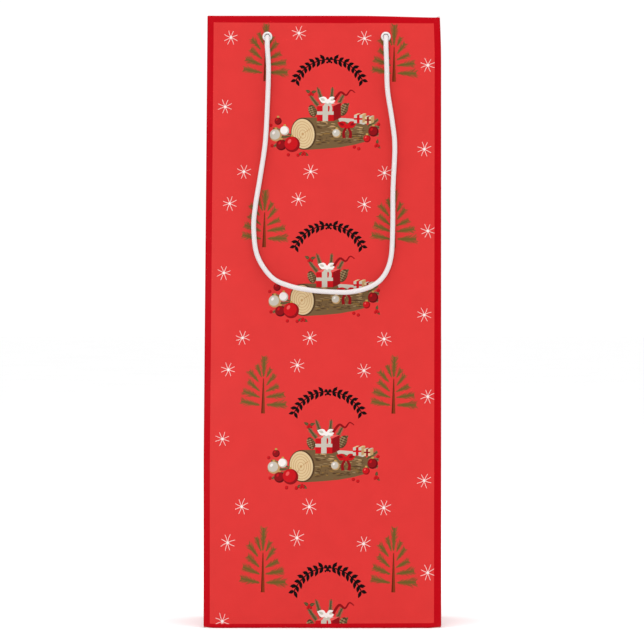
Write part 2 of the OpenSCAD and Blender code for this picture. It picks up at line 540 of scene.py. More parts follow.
def add_handle(face):
    """One rope: its hanging loop, which bends at the eyelets, and its two knots inside."""
    loop = hanging_line() if face == "front" else half_turned(hanging_line())
    knots = [add_knot(face, side) for side in SIDE]
    cord = rope(f"{face}_handle_rope", loop, ROPE_SIDES)
    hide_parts(f"{face}_handle_cord")
    diagonal = np.array([0, OUTWARD[face], -1]) / math.sqrt(2) * BEND_R
    start, end = [(loop[0] + diagonal * share) * MM for share in BEND_SPAN]
    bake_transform(cord)
    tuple(start)
    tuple(end)


# ---------------------------------------------------------------- the folded sheet

# Radii of the folds: upright corners, base, and the rim without and with card in it
CORNER_R = 1.0
BASE_R = 0.8
THIN_FOLD = PAPER * 1.06
CARD_FOLD = (2 * PAPER + CARD) / 2
# The left side leans in by LEAN over the height above LEAN_FROM, the right by RIM_LEAN
# over the last RIM_LEAN_SPAN, and the front and back by PULL_IN over the whole height
LEAN = 2.2
LEAN_FROM = 95
RIM_LEAN = 0.75
RIM_LEAN_SPAN = 24
PULL_IN = 0.6
# The rim dips by RIM_DIP between these distances to the right of the middle
RIM_DIP = 1.1
RIM_DIP_SPAN = (18, 75)
# How far the faces bow out and the side walls fold in, and how deep a crease is pressed
BOW = 1.7
GUSSET_IN = 7.5
CREASE = 0.16
CREASE_HALF = 0.7
# Slow waves in the faces: height, and length across and up
WAVES = ((0.22, 17, 41), (0.16, 29, -23))
# Each wall: which way it runs, which way it looks, and half its width
WALLS = {
    "front": ((1, 0), (0, -1), WIDTH / 2),
    "right": ((0, 1), (1, 0), DEPTH / 2),
    "back": ((-1, 0), (0, 1), WIDTH / 2),
    "left": ((0, -1), (-1, 0), DEPTH / 2),
}
# Heights on the flat sheet: where the base fold ends, the rim's fold starts and ends, and
# the rim turned in behind the wall ends
ARC_V = BASE_R * math.pi / 2
WALL_V = ARC_V + HEIGHT - CARD_FOLD - BASE_R
FOLD_V = WALL_V + math.pi * CARD_FOLD
HEM_V = FOLD_V + HEM - CARD_FOLD
# Height on the flat sheet of the crease where the base folds up flat
APEX_V = ARC_V + DEPTH / 2 - BASE_R


def corners(wall, z):
    """A wall's plan at height z: where it starts, where it ends, and how far out it lies."""
    left = -WIDTH / 2 + LEAN * np.clip((z - LEAN_FROM) / (HEIGHT - LEAN_FROM), 0, 1)
    near_rim = np.clip((z - HEIGHT + RIM_LEAN_SPAN) / RIM_LEAN_SPAN, 0, 1)
    right = WIDTH / 2 - RIM_LEAN * near_rim**1.5
    back = DEPTH / 2 - PULL_IN * z / HEIGHT
    front = -back
    return {
        "front": (left, right, -front),
        "right": (front, back, right),
        "back": (-right, -left, back),
        "left": (-back, -front, -left),
    }[wall]


def face_relief(wall, a, z):
    """How far the front or back stands out: its bow, its waves and the back's crease."""
    free = np.clip(1 - (a / (WALLS[wall][2] - CORNER_R)) ** 2, 0, 1)
    height = np.sin(math.pi * np.clip(z / (HEIGHT - HEM * 0.4), 0, 1)) ** 0.8
    phase = 0.0 if wall == "front" else 2.1
    waves = sum(size * np.sin(a / across + z / up + phase) for size, across, up in WAVES)
    out = free * (BOW * height + waves)
    if wall == "back":
        out -= CREASE * np.clip(1 - np.abs(z - DEPTH / 2) / CREASE_HALF, 0, 1)
    return out


def gusset_relief(wall, a, z):
    """How far a side wall stands out, less than nothing: its fold, its sag and its creases."""
    flat = WALLS[wall][2] - CORNER_R
    free = np.clip(1 - (a / flat) ** 2, 0, 1)
    inward = np.clip(1 - np.sqrt(a * a + 0.2) / flat, 0, 1)
    diagonal = DEPTH / 2 - np.abs(a)
    climb = np.clip((z - diagonal) / (HEIGHT - diagonal), 0, 1)
    fold = GUSSET_IN * climb**1.3 * inward * (1.12 - 0.12 * inward)
    sag = 0.25 * np.sin(z / 33 + a / 19) * free
    groove = CREASE * np.clip(1 - np.abs(z - diagonal), 0, 1) * (z < DEPTH / 2 + 1)
    return -fold + sag - groove


def plan(wall, a, z):
    """Points of a wall's printed side, as an array of x and y."""
    direction, outward, half = WALLS[wall]
    start, end, out = corners(wall, z)
    flat = half - CORNER_R
    middle, reach = (start + end) / 2, (end - start) / 2 - CORNER_R
    turn = np.radians(45) * (np.abs(a) - flat) / CORNER_R
    bent = turn > 0
    turn = np.where(bent, turn, 0)
    along = np.where(
        bent, middle + np.sign(a) * (reach + CORNER_R * np.sin(turn)), middle + a / flat * reach
    )
    relief = face_relief if wall in OUTWARD else gusset_relief
    away = np.where(bent, out - CORNER_R + CORNER_R * np.cos(turn), out + relief(wall, a, z))
    return np.stack([along * direction[k] + away * outward[k] for k in (0, 1)], 1)


def inward_of(wall, a, z):
    """Unit directions that point into the bag from a wall."""
    nudge = 0.05
    step = plan(wall, a + nudge, z) - plan(wall, a - nudge, z)
    step /= np.linalg.norm(step, axis=1)[:, None]
    return np.stack([-step[:, 1], step[:, 0]], 1)


def rim_height(wall, a):
    """The rim dips a little towards its right end."""
    direction, outward, half = WALLS[wall]
    return HEIGHT - RIM_DIP * smooth(a * direction[0] + half * outward[0], *RIM_DIP_SPAN)


def fold_radius(wall, a):
    """Radius of the rim's fold: wide over the card, tight beside it and on the sides."""
    if wall not in OUTWARD:
        return np.full_like(a, THIN_FOLD)
    half = WALLS[wall][2]
    return CARD_FOLD + (THIN_FOLD - CARD_FOLD) * smooth(np.abs(a), half - 5, half - 1.5)


def base_height(wall, a):
    """The base flaps lie on each other, so the walls start at their own heights."""
    middle = {"front": 0, "back": 1, "left": 2, "right": 2}[wall] * PAPER
    half = WALLS[wall][2]
    return middle + (PAPER - middle) * smooth(np.abs(a), half - 7, half - CORNER_R)


def wall_point(wall, a, v, depth):
    """A point of a folded wall. a runs along the wall; v runs up its printed side from the
    base fold, over the rim and down inside; depth is the distance below that side."""
    rim, base = fold_radius(wall, a), base_height(wall, a)
    low, high = base + BASE_R, rim_height(wall, a) - rim
    z = low + (high - low) * np.clip((v - ARC_V) / (WALL_V - ARC_V), 0, 1)
    hem = v > FOLD_V
    at = np.where(hem, high - (v - FOLD_V), z)
    inward = np.zeros_like(a) + depth
    rise = at.copy()
    turn = np.radians(90) * (1 - v / ARC_V)
    arc = v < ARC_V
    inward = np.where(arc, BASE_R - (BASE_R - depth) * np.cos(turn), inward)
    rise = np.where(arc, base + BASE_R - (BASE_R - depth) * np.sin(turn), rise)
    turn = math.pi * (v - WALL_V) / (FOLD_V - WALL_V)
    over = (v > WALL_V) & ~hem
    inward = np.where(over, rim - (rim - depth) * np.cos(turn), inward)
    rise = np.where(over, high + (rim - depth) * np.sin(turn), rise)
    inward = np.where(hem, 2 * rim - depth, inward)
    ground = plan(wall, a, at) + inward[:, None] * inward_of(wall, a, at)
    return np.concatenate([ground, rise[:, None]], 1)


def left_turning(outline):
    """The same outline, run through so that its inside is on the left."""
    x, y = np.array(outline).T
    turned_right = np.dot(x, np.roll(y, -1)) < np.dot(y, np.roll(x, -1))
    return outline[::-1] if turned_right else outline


def cut_flat(columns, rows, art, rings, creases):
    """Triangles of an uncut sheet that follow its grid, its creases, its holes' rims and
    every outline of its print, with the print's layers that each triangle lies in."""
    points = [(a, v) for v in rows for a in columns]
    wide = len(columns)
    edges = [(i, i + 1) for i in range(len(points)) if (i + 1) % wide]
    edges += [(i, i + wide) for i in range(len(points) - wide)]
    for line in creases:
        edges += [(len(points) + i, len(points) + i + 1) for i in range(len(line) - 1)]
        points += line
    for ring in rings:
        count = len(ring)
        edges += [(len(points) + i, len(points) + (i + 1) % count) for i in range(count)]
        points += ring
    faces = []
    for outline, _ in art:
        faces.append(list(range(len(points), len(points) + len(outline))))
        points += [tuple(p) for p in left_turning(outline)]
    made = geometry.delaunay_2d_cdt([Vector(p) for p in points], edges, faces, 0, 1e-5, True)
    return np.array([tuple(p) for p in made[0]]), np.array(made[2]), made[5]


def outside_holes(flat, triangles, holes):
    """Which triangles lie outside every hole. A hole's rim is a polygon just inside it."""
    keep = np.ones(len(triangles), bool)
    middle = flat[triangles].mean(1)
    for a, v, radius in holes:
        keep &= np.hypot(middle[:, 0] - a, middle[:, 1] - v) > radius * 0.98
    return keep


def rim_edges(triangles):
    """The directed edges that only one triangle has."""
    edges = np.concatenate([triangles[:, [0, 1]], triangles[:, [1, 2]], triangles[:, [2, 0]]])
    known = {tuple(e) for e in edges.tolist()}
    return [(i, j) for i, j in edges.tolist() if (j, i) not in known]


def counter_clockwise(flat, triangles):
    """The same triangles, all turning left."""
    a, b, c = (flat[triangles[:, k]] for k in range(3))
    turned = (b[:, 0] - a[:, 0]) * (c[:, 1] - a[:, 1]) - (b[:, 1] - a[:, 1]) * (c[:, 0] - a[:, 0])
    triangles[turned < 0] = triangles[turned < 0][:, ::-1]
    return triangles


def circle(a, v, radius, sides=32):
    """Points round a circle, to the left."""
    turn = np.arange(sides) * 2 * math.pi / sides
    return [(a + radius * math.cos(t), v + radius * math.sin(t)) for t in turn]


def side_normals(place, flat, depth):
    """Normals of a sheet's side at its flat points, from the shape that it folds to."""
    a, v = flat.T
    nudge = 0.04
    across = place(a + nudge, v, depth) - place(a - nudge, v, depth)
    up = place(a, v + nudge, depth) - place(a, v - nudge, depth)
    normal = np.cross(across, up)
    return normal / np.linalg.norm(normal, axis=1)[:, None]


def cut_side(columns, rows, art, holes, rings, creases):
    """One side of a sheet, cut flat and with its holes left out."""
    flat, triangles, layers = cut_flat(columns, rows, art, rings, creases)
    triangles = counter_clockwise(flat, triangles)
    keep = outside_holes(flat, triangles, holes)
    return flat, triangles[keep], [owners for owners, kept in zip(layers, keep) if kept]


def set_normals(mesh, normals, sides):
    """Each point's own normal on the first faces, the two sides, and flat cut edges after."""
    mesh.shade_smooth()
    corner = np.empty(len(mesh.loops), np.int32)
    mesh.loops.foreach_get("vertex_index", corner)
    shown = normals[corner]
    for face in mesh.polygons[sides:]:
        shown[face.loop_start:face.loop_start + face.loop_total] = face.normal
    mesh.normals_split_custom_set(shown.tolist())


# What the ink attribute holds where nothing is printed
NO_INK = (0.5, 0.5, 0.5)


def sheet(name, place, columns, rows, thickness, colour, art=(), holes=(), creases=(),
          wear=None, materials=None):
    """A sheet of paper or card as a closed solid. place(a, v, depth) folds it; art is a list
    of outlines and colours, the first of which bounds all the others."""
    rings = [circle(*hole) for hole in holes]
    flat, top, layers = cut_side(columns, rows, art, holes, rings, creases)
    border = rim_edges(top)
    lines = [[tuple(flat[i]), tuple(flat[j])] for i, j in border] + list(creases)
    under_flat, under, _ = cut_side(columns, rows, (), holes, [], lines)
    where = {tuple(np.round(p, 3)): len(flat) + i for i, p in enumerate(under_flat)}
    partner = {i: where[tuple(np.round(flat[i], 3))] for edge in border for i in edge}
    points = np.concatenate([place(*flat.T, 0.0), place(*under_flat.T, thickness)])
    faces = top.tolist() + (under[:, ::-1] + len(flat)).tolist()
    faces += [(j, i, partner[i], partner[j]) for i, j in border]
    obj = new_object(name, points, faces, materials or [PRINTED, RAW])
    mesh = obj.data
    unprinted = len(faces) - len(top)
    mesh.polygons.foreach_set("material_index", [0] * len(top) + [1] * unprinted)
    upper, lower = side_normals(place, flat, 0.0), side_normals(place, under_flat, thickness)
    set_normals(mesh, np.concatenate([upper, -lower]), len(top) + len(under))
    inks = [art[max(owners)][1] if owners and 0 in owners else colour for owners in layers]
    tint = mesh.attributes.new("ink", "FLOAT_VECTOR", "FACE")
    tint.data.foreach_set("vector", np.array(inks + [NO_INK] * unprinted).ravel())
    worn = wear(np.concatenate([flat, under_flat])) if wear else np.zeros(len(points))
    mesh.attributes.new("wear", "FLOAT", "POINT").data.foreach_set("value", worn)
    return obj


# About how far apart a sheet's grid lines are
GRID = 6.5
CARD_GRID = 6


def wall_grid(wall):
    """Lines of a wall's grid: close together where the paper turns, wide where it's flat."""
    half = WALLS[wall][2]
    flat = half - CORNER_R
    inner = np.linspace(-flat, flat, round(2 * flat / GRID) + 1)
    bend = np.linspace(0, CORNER_R, 5)[1:]
    near = [-flat + 1.5, -flat + 3.5, flat - 3.5, flat - 1.5]
    columns = np.unique(np.round(np.r_[-flat - bend, inner, near, flat + bend], 4))
    rows = np.r_[
        np.linspace(0, ARC_V, 5),
        np.linspace(ARC_V, WALL_V, round((WALL_V - ARC_V) / GRID) + 1)[1:],
        np.linspace(WALL_V, FOLD_V, 11)[1:],
        np.linspace(FOLD_V, HEM_V, 7)[1:],
    ]
    return columns.tolist(), np.round(rows, 4).tolist()


def fade(away, reach):
    """1 on a line, and less the further away from it."""
    return np.exp(-np.abs(away) / reach)


def worn_edges(wall):
    """Wear, 0 to 1: most at the corners of the rim and the base, some along the creases."""
    half = WALLS[wall][2]

    def wear(flat):
        a, v = flat.T
        fold = np.zeros_like(a)
        if wall not in OUTWARD:
            fold = np.maximum(fade(a, 0.25) * (v > APEX_V), fade(v - APEX_V + np.abs(a), 0.3))
        elif wall == "back":
            fold = fade(v - APEX_V, 0.25)
        rim_and_base = fade(v - (WALL_V + FOLD_V) / 2, 0.5) + fade(v, 0.5)
        end = half - np.abs(a)
        edge = 0.03 * fade(end, 0.3) + (0.02 + 0.2 * fade(end, 5)) * rim_and_base
        return np.clip(np.maximum(edge, 0.3 * fold), 0, 0.6)

    return wear


# Radius of the holes punched for the eyelets
PUNCH_R = CORD_R + 0.65


def eyelet_spots(wall):
    """Where the eyelets sit along a wall."""
    start, end, _ = corners(wall, EYELET_Z)
    middle, reach = (start + end) / 2, (end - start) / 2 - CORNER_R
    flat = WALLS[wall][2] - CORNER_R
    return [(-OUTWARD[wall] * x - middle) / reach * flat for x in EYELET_X.values()]


def eyelet_holes(wall):
    """A wall's two eyelet holes, in the wall and again in the rim turned in behind it."""
    up = ARC_V + (EYELET_Z - BASE_R)
    down = FOLD_V + (HEIGHT - CARD_FOLD - EYELET_Z)
    return [(a, v, PUNCH_R) for a in eyelet_spots(wall) for v in (up, down)]


def add_wall(wall, slot, *nodes, art=(), creases=()):
    """A wall with the rim turned in behind it, which stands for the named nodes."""
    columns, rows = wall_grid(wall)
    holes = eyelet_holes(wall) if wall in OUTWARD else ()
    obj = sheet(
        f"{wall}_wall", partial(wall_point, wall), columns, rows, PAPER, BORDER,
        art, holes, creases, worn_edges(wall),
    )
    settle(obj, "bag", slot, *nodes)
    return obj


# ---------------------------------------------------------------- the print

# The print repeats every REPEAT down the face, and is drawn out by this share of what lies
# further than STRETCH_FROM below the rim
REPEAT = 94.65
STRETCH_FROM = 267.0
STRETCH = 0.134
# Its inks
FIELD = ink(228, 58, 56)
BORDER = ink(197, 1, 20)
OLIVES = [ink(132, 92, 46), ink(112, 92, 40), ink(142, 108, 58), ink(106, 88, 38)]
OLIVE_EDGES = [ink(140, 80, 44), ink(158, 84, 50)]
TRUNK = ink(136, 56, 24)
TRUNK_DARK = ink(104, 34, 8)
WHITE = ink(252, 244, 240)
SNOW = ink(255, 214, 208)
BLACK = ink(14, 6, 8)
BARK = ink(118, 92, 60)
BARK_DARK = ink(84, 60, 38)
BARK_LIGHT = ink(156, 130, 92)
CREAM = ink(228, 200, 154)
RING = ink(196, 156, 106)
RED = ink(206, 20, 28)
DARK_RED = ink(146, 14, 22)
MAROON = ink(104, 8, 16)
LIGHT_RED = ink(240, 92, 88)
GREY = ink(206, 198, 184)
GOLD = ink(196, 158, 84)
FIR = [ink(104, 92, 56), ink(84, 78, 44), ink(130, 104, 76)]


def on_sheet(shapes, across, down):
    """Shapes drawn about their own middle, y up, placed on the front: so far to the right of
    the middle and so far below the rim. The print is drawn out a little near the base."""
    placed = []
    for outline, colour in shapes:
        points = np.array(outline, float)
        below = down - points[:, 1]
        below = below + STRETCH * np.clip(below - STRETCH_FROM, 0, None)
        v = ARC_V + HEIGHT - below - BASE_R
        placed.append((np.stack([across + points[:, 0], v], 1), colour))
    return placed


def turned(vector, degrees):
    """A direction in the sheet's plane, turned to the left."""
    c, s = math.cos(math.radians(degrees)), math.sin(math.radians(degrees))
    return np.array([vector[0] * c - vector[1] * s, vector[0] * s + vector[1] * c])


def kite(base, tip, width):
    """A thin stroke, widest at its middle."""
    base, tip = np.array(base, float), np.array(tip, float)
    side = turned(tip - base, 90) / np.linalg.norm(tip - base) * width / 2
    middle = base * 0.5 + tip * 0.5
    return [base, middle - side, tip, middle + side]


def leaf(base, tip, width, points=6):
    """A leaf outline with a round belly."""
    base, tip = np.array(base, float), np.array(tip, float)
    side = turned(tip - base, 90) / np.linalg.norm(tip - base) * width / 2
    t = np.linspace(0, 1, points + 2)[1:-1]
    belly = np.sin(math.pi * t**0.85)
    right = [base + (tip - base) * s - side * b for s, b in zip(t, belly)]
    left = [base + (tip - base) * s + side * b for s, b in zip(t, belly)]
    return [base, *right, tip, *left[::-1]]


def oval(x, y, across, up, sides=24, lean=0.0):
    """An ellipse with these half widths, leaning to the left."""
    return [(x, y) + turned((across * c, up * s), lean) for c, s in circle(0, 0, 1, sides)]


def slab(x, y, right, up):
    """A parallelogram from its first corner, along two edges."""
    corner, right, up = np.array((x, y)), np.array(right), np.array(up)
    return [corner, corner + right, corner + right + up, corner + up]


def stroke(points, start, end, steps=5):
    """A line through points as an outline that tapers from one width to the other."""
    line = spline(points, steps)
    along = np.gradient(line, axis=0)
    along /= np.linalg.norm(along, axis=1)[:, None]
    wide = np.linspace(start, end, len(line))[:, None]
    side = np.stack([-along[:, 1], along[:, 0]], 1) * wide / 2
    return [*(line - side), *(line + side)[::-1]]


def swell(t):
    """A twig's width along it: pointed at its foot, widest past the middle, round at the tip."""
    return math.sin(math.pi * 0.86 * t**1.25)


def feather(base, tip, width, tooth, rng):
    """The outline of a needled twig: a row of teeth that lean forward, along both sides."""
    length = np.linalg.norm(tip - base)
    along = (tip - base) / length
    out = turned(along, 90)
    count = max(4, round(length / tooth))
    sides = {}
    for side in (1, -1):
        points = []
        for i in range(count):
            far = width / 2 * swell((i + 0.8) / count) * rng.uniform(0.85, 1.15)
            root = base + along * length * i / count
            points.append(root + out * side * (0.1 + far * 0.55))
            points.append(root + along * tooth * 0.95 + out * side * (0.12 + far))
        sides[side] = points
    end = tip + along * width * 0.15
    return [base, *sides[-1], end, *sides[1][::-1]]


# Along a twig, from one pair of needles to the next
NEEDLE_PITCH = 0.75


def fir_branch(base, tip, width, colours, edges, rng):
    """A twig: thin needles all along it, a denser core over them and a dark spine."""
    base, tip = np.array(base, float), np.array(tip, float)
    length = np.linalg.norm(tip - base)
    along = (tip - base) / length
    count = max(5, round(length / NEEDLE_PITCH))
    shapes = []
    for i in range(count):
        t = (i + 0.5) / count
        root = base + along * length * t * 0.93
        for side in (-1, 1):
            reach = width * (0.35 + 0.9 * swell(t)) * rng.uniform(0.75, 1.05)
            point = root + turned(along, side * rng.uniform(26, 42)) * reach
            shapes.append((kite(root, point, 0.56), rng.choice(edges)))
    shapes.append((feather(base, tip, width * 0.55, 0.9, rng), colours[0]))
    shapes.append((feather(base, tip, width * 0.26, 1.4, rng), colours[1]))
    return shapes


# A fir: each branch's foot and tip, and how far its needles spread
FIR_BRANCHES = [
    ((-1.6, 4.7), (-12.4, 7.0), 3.7), ((1.8, 4.9), (12.7, 5.1), 4.4),
    ((-1.6, 9.1), (-11.2, 12.7), 3.6), ((1.4, 9.2), (11.7, 10.8), 3.6),
    ((-1.9, 12.6), (-8.4, 18.2), 3.2), ((1.4, 12.4), (8.6, 15.8), 3.0),
    ((-2.6, 17.9), (-7.9, 24.0), 3.3), ((1.8, 15.9), (6.5, 22.0), 3.0),
    ((-1.0, 20.6), (-3.7, 27.5), 2.6), ((1.8, 20.4), (4.3, 25.2), 2.7),
    ((0.1, 20.6), (0.6, 32.3), 3.9),
]


def fir_tree(rng):
    """Needled branches, and a trunk over them that is darker on its left."""
    shapes = []
    for base, tip, width in FIR_BRANCHES:
        shapes += fir_branch(base, tip, width, OLIVES, OLIVE_EDGES, rng)
    shapes.append(([(-1.1, 0), (1.1, 0), (0.45, 19.9), (-0.1, 19.9)], TRUNK))
    shapes.append(([(-1.1, 0), (-0.3, 0), (0.1, 19.0), (-0.1, 19.9)], TRUNK_DARK))
    return shapes


def snowflake(rng):
    """Eight thin arms, each a little bent, about a white middle."""
    shapes = []
    for k in range(8):
        direction = turned((1, 0), 22.5 + 45 * k + rng.uniform(-5, 5))
        bend = turned(direction, 90) * rng.uniform(-0.25, 0.25)
        arm = [direction * 0.4, direction * 2.2 + bend, direction * rng.uniform(3.9, 4.5)]
        shapes.append((stroke(arm, 0.36, 0.28, 3), SNOW))
    shapes.append((oval(0, 0, 0.75, 0.75, 14), WHITE))
    return shapes


# The garland's radius and half its span in degrees, and the lengths of its leaves in turn
ARCH_R = 21.4
ARCH_SPAN = 64
LEAF_LENGTHS = (3.5, 4.1)


def garland():
    """A black arched swag of leaves and berries, which meet at its top."""
    spine = [turned((0, ARCH_R), -d) for d in range(-ARCH_SPAN, ARCH_SPAN + 1, 8)]
    shapes = [(stroke(spine, 0.6, 0.6, 3), BLACK)]
    for k, degrees in enumerate(range(7, ARCH_SPAN + 1, 8)):
        for half in (-1, 1):
            root = turned((0, ARCH_R), -half * degrees)
            out = root / ARCH_R
            ahead = turned(out, -half * 90)
            for side in (1, -1):
                odd = (k + (side > 0)) % 2
                lean = math.radians(46 + 6 * odd)
                direction = ahead * math.cos(lean) + out * side * math.sin(lean)
                shapes.append((leaf(root, root + direction * LEAF_LENGTHS[odd], 1.9), BLACK))
            berry = turned((0, ARCH_R + (1.7 if k % 2 else -1.7)), -half * (degrees - 3.4))
            shapes.append((oval(berry[0], berry[1], 0.6, 0.6, 12), BLACK))
    for x, y in ((-1.1, 0.5), (1.1, 0.5), (0, -1.0)):
        shapes.append((oval(x, ARCH_R + y, 0.95, 0.95, 14), BLACK))
    return shapes


def bauble(x, y, radius, glass):
    """A glass ball with its cap, a shadow on its right and a glint."""
    colour, shade, light = glass
    return [
        (oval(x, y, radius, radius), shade),
        (oval(x - radius * 0.14, y + radius * 0.12, radius * 0.84, radius * 0.84), colour),
        (oval(x - radius * 0.36, y + radius * 0.38, radius * 0.2, radius * 0.3, 12, -35), light),
        ([(x - 0.7, y + radius - 0.1), (x + 0.7, y + radius - 0.1),
          (x + 0.6, y + radius + 0.9), (x - 0.6, y + radius + 0.9)], GOLD),
    ]


def bow(x, y, size, colour, shade):
    """Two loops, two tails and a knot."""
    shapes = []
    for wide in (-size, size):
        tail = [(x, y), (x + wide * 0.35, y - size * 0.6), (x + wide * 0.3, y - size * 1.2)]
        shapes.append((stroke(tail, size * 0.22, size * 0.34), shade))
    for wide in (-size, size):
        fold = (x + wide * 0.3, y + size * 0.12), (x + wide * 0.85, y + size * 0.33)
        shapes.append((leaf((x, y), (x + wide, y + size * 0.38), size * 0.72), colour))
        shapes.append((leaf(*fold, size * 0.28), shade))
    shapes.append((oval(x, y, size * 0.2, size * 0.24, 12), colour))
    return shapes


def parcel(x, y, wide, high, deep, colours, ribbon):
    """A wrapped box seen a little from the right: front, side, top and ribbon."""
    face, side, lid = colours
    front, up, back = (wide, 0), (0, high), (deep, deep * 0.45)
    band = wide * 0.32
    left = x + (wide - band) / 2
    return [
        (slab(x, y, front, up), face),
        (slab(x + wide, y, back, up), side),
        (slab(x, y + high, front, back), lid),
        (slab(left, y, (band, 0), up), ribbon),
        (slab(left, y + high, (band, 0), back), ribbon),
        (slab(x, y + high * 0.42, front, (0, high * 0.22)), ribbon),
    ]


# Outlines of the log and of the snow on it, and the tones of its bark
LOG = [(-12, 8.6), (-4, 8.8), (4, 8.0), (12, 7.4), (20, 6.8), (24, 5.6), (26.2, 3), (26.9, -1),
       (25.8, -4.6), (18, -6.8), (9, -8.4), (0, -9.2), (-10, -9.8)]
LOG_SNOW = [(8, 8.5), (12, 8.3), (17, 7.9), (22, 6.9), (25, 5.6), (23, 4.6), (19, 5.6),
            (16, 4.8), (12, 6.4), (9, 6.2)]
LOW_BARK = [BARK_DARK, BARK_DARK, OLIVES[2], BARK_LIGHT]
HIGH_BARK = [BARK_LIGHT, BARK_LIGHT, RING, BARK_DARK]


def bark(rng):
    """Long flakes and short cracks all over the log."""
    shapes = []
    for _ in range(110):
        x, y = rng.uniform(-5, 21), rng.uniform(-7.6, 7.0)
        y *= 1 - 0.012 * (x + 5)
        length, slope = rng.uniform(1.2, 5), -0.05 - 0.015 * y
        flake = leaf((x, y), (x + length, y + length * slope), rng.uniform(0.3, 0.85), 3)
        shapes.append((flake, rng.choice(LOW_BARK if y < 0 else HIGH_BARK)))
    for _ in range(16):
        x, y = rng.uniform(-3, 24), rng.uniform(-7, 5)
        tip = (x + rng.uniform(-0.6, 0.6), y + rng.uniform(1, 2.4))
        shapes.append((kite((x, y), tip, 0.4), BARK_DARK))
    return shapes


def cut_end():
    """The log's sawn end, with its rings and two cracks."""
    shapes = [
        (oval(-11.7, -0.6, 7.3, 9.2, 32, 8), BARK_DARK),
        (oval(-12.0, -0.6, 6.6, 8.5, 32, 8), CREAM),
    ]
    for size in (0.86, 0.68, 0.5, 0.3):
        across, up = 6.6 * size, 8.5 * size
        shapes.append((oval(-12.2, -0.8, across, up, 28, 8), RING))
        shapes.append((oval(-12.2, -0.8, across - 0.3, up - 0.3, 28, 8), CREAM))
    shapes.append((oval(-12.2, -0.8, 0.7, 0.8, 12), RING))
    for tip in ((-6.6, 3.2), (-15.6, -6.4)):
        shapes.append((kite((-12.2, -0.8), tip, 0.5), RING))
    return shapes


def log():
    """A sawn log that lies across the picture, its cut end to the left, with snow on it."""
    return [(LOG, BARK), *bark(random.Random(5)), (LOG_SNOW, GREY), *cut_end()]


def sprig(base, degrees, length, rng):
    """A twig of fir from its foot in one direction."""
    tip = np.array(base) + turned((length, 0), degrees)
    return fir_branch(base, tip, 2.3, FIR, [FIR[2]], rng)


# How wide each row of a cone's scales is, as a share of its size
CONE_ROWS = (0.5, 0.58, 0.52, 0.4, 0.2)


def cone(x, y, size, lean):
    """A pine cone: rows of scales that narrow towards its tip."""
    shapes = [(oval(x, y, size * 0.62, size, 18, lean), BARK_DARK)]
    for row, share in enumerate(CONE_ROWS):
        across = share * size
        for k in (-1, 0, 1):
            spot = (x, y) + turned((k * across * 0.72, size * (0.62 - row * 0.34)), lean)
            scale = oval(*spot, across * 0.36, size * 0.13, 8, lean)
            shapes.append((scale, BARK_LIGHT if k < 1 else BARK))
    return shapes


def holly(x, y, size, lean):
    """Two pointed leaves and three berries."""
    shapes = []
    for turn in (lean, lean + 130):
        tip = np.array((x, y)) + turned((size, 0), turn)
        shapes.append((leaf((x, y), tip, size * 0.5, 4), FIR[1]))
        shapes.append((kite((x, y), tip, size * 0.08), FIR[2]))
    spots = [(x, y), (x + 0.9, y - 0.9), (x - 0.7, y - 1.0)]
    return shapes + berries(spots, 0.8, RED, DARK_RED)


def berries(spots, radius, colour, shade):
    """Round berries, each lit from its upper left."""
    shapes = []
    for x, y in spots:
        shapes.append((oval(x, y, radius, radius, 14), shade))
        shapes.append((oval(x - 0.15, y + 0.15, radius * 0.8, radius * 0.8, 12), colour))
    return shapes


# Colour, shade and light of glass and wrapping
SILVER = (GREY, RING, WHITE)
PEARL = (WHITE, GREY, WHITE)
RUBY = (DARK_RED, MAROON, RED)
SCARLET = (RED, DARK_RED, LIGHT_RED)
# Fir twigs: their shared foot, then each one's direction and length
SPRIGS = [
    ((3, 7), ((128, 19), (110, 20), (84, 19), (60, 17), (40, 15), (146, 13))),
    ((-17, -2), ((160, 13), (184, 14), (206, 13), (228, 10))),
    ((23, 2), ((34, 10), (8, 9), (-20, 9))),
]
# A loose ribbon, and the berries about the log
CURL = [(6, 18.6), (9.5, 23), (12.8, 21.4), (15.4, 24.2), (18, 22.8)]
LOOSE_BERRIES = [(-20.4, -12.6), (-14.8, -12.8), (-29.8, -7.4), (17.6, -8.2), (20.2, -9.2),
                 (31.6, 4.8), (-30.6, 4.2)]


def still_life():
    """A log with fir sprigs, parcels, baubles, berries and ribbon: a plain winter picture."""
    rng = random.Random(11)
    shapes = []
    for foot, twigs in SPRIGS:
        for degrees, length in twigs:
            shapes += sprig(foot, degrees, length, rng)
    return [
        *shapes,
        *log(),
        *cone(-6.6, 12.4, 3.6, 18),
        *cone(11.4, 13.2, 3.9, -24),
        *parcel(-4.0, 6.6, 9.6, 8.6, 4.2, SCARLET, GREY),
        *bow(2.2, 17.8, 5.2, WHITE, GREY),
        (stroke(CURL, 1.6, 0.5), DARK_RED),
        *holly(-7.6, 22.6, 3.6, 20),
        *bauble(-27.7, -1.4, 3.5, SILVER),
        *bauble(-22.6, 1.2, 2.6, PEARL),
        *bauble(-26.4, 6.6, 2.1, RUBY),
        *bauble(-24.4, -7.0, 3.1, RUBY),
        *bauble(-18.2, -6.6, 4.5, SCARLET),
        *bow(13.4, 3.6, 5.6, RED, DARK_RED),
        *bauble(7.4, -0.4, 2.5, SILVER),
        *parcel(17.4, 5.4, 4.8, 4.6, 2.2, (GREY, RING, CREAM), RED),
        *parcel(23.6, 5.2, 3.6, 3.8, 1.8, (CREAM, RING, GREY), DARK_RED),
        *bauble(28.6, 0.8, 3.0, RUBY),
        *bauble(24.9, -3.4, 2.1, SCARLET),
        *holly(-11.6, -11.4, 3.4, 200),
        *holly(30.6, -6.6, 3.2, -50),
        *berries(LOOSE_BERRIES, 0.95, RED, DARK_RED),
    ]


